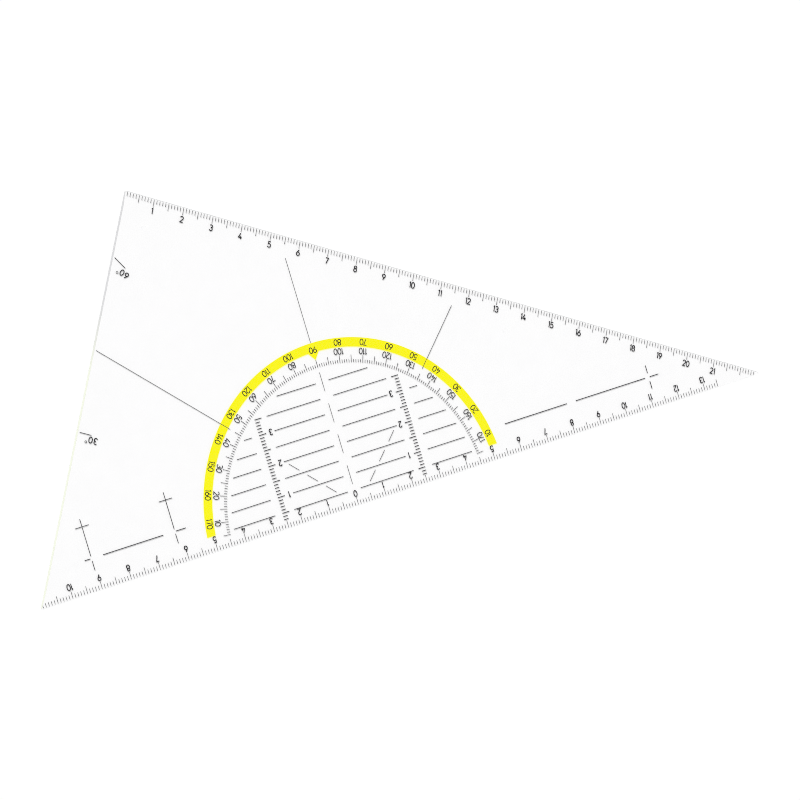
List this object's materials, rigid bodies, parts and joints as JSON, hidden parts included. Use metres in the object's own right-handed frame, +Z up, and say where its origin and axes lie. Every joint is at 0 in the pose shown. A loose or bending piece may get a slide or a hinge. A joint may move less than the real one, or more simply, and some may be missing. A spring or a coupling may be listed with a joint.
{
  "type": "geometry triangle",
  "caption": "Clear flat drawing triangle with bevelled graduated edges and a protractor with a yellow numeral band printed on its underside, for drawing angles and parallels.",
  "frame": {"origin": "protractor zero on the longest edge, at the level of the table under the pips", "axes": "+X along the longest edge towards the 30 degree tip, +Y from that edge into the plate, +Z up out of the face that carries no print"},
  "size_m": [0.2615, 0.1136, 0.002],
  "materials": {
    "clear_plastic": "polished clear moulded sheet",
    "yellow_ink": "flat printed ink",
    "black_ink": "flat printed ink"
  },
  "bodies": {
    "root": {"clear_plate": "clear_plastic", "yellow_band": "yellow_ink", "hypotenuse_scale": "black_ink", "long_leg_scale": "black_ink", "degree_scale": "black_ink", "height_scales": "black_ink", "parallel_lines": "black_ink", "right_angle_line": "black_ink", "diagonal_lines": "black_ink", "angle_marks": "black_ink", "left_guide_marks": "black_ink", "right_guide_marks": "black_ink"}
  },
  "joints": []
}
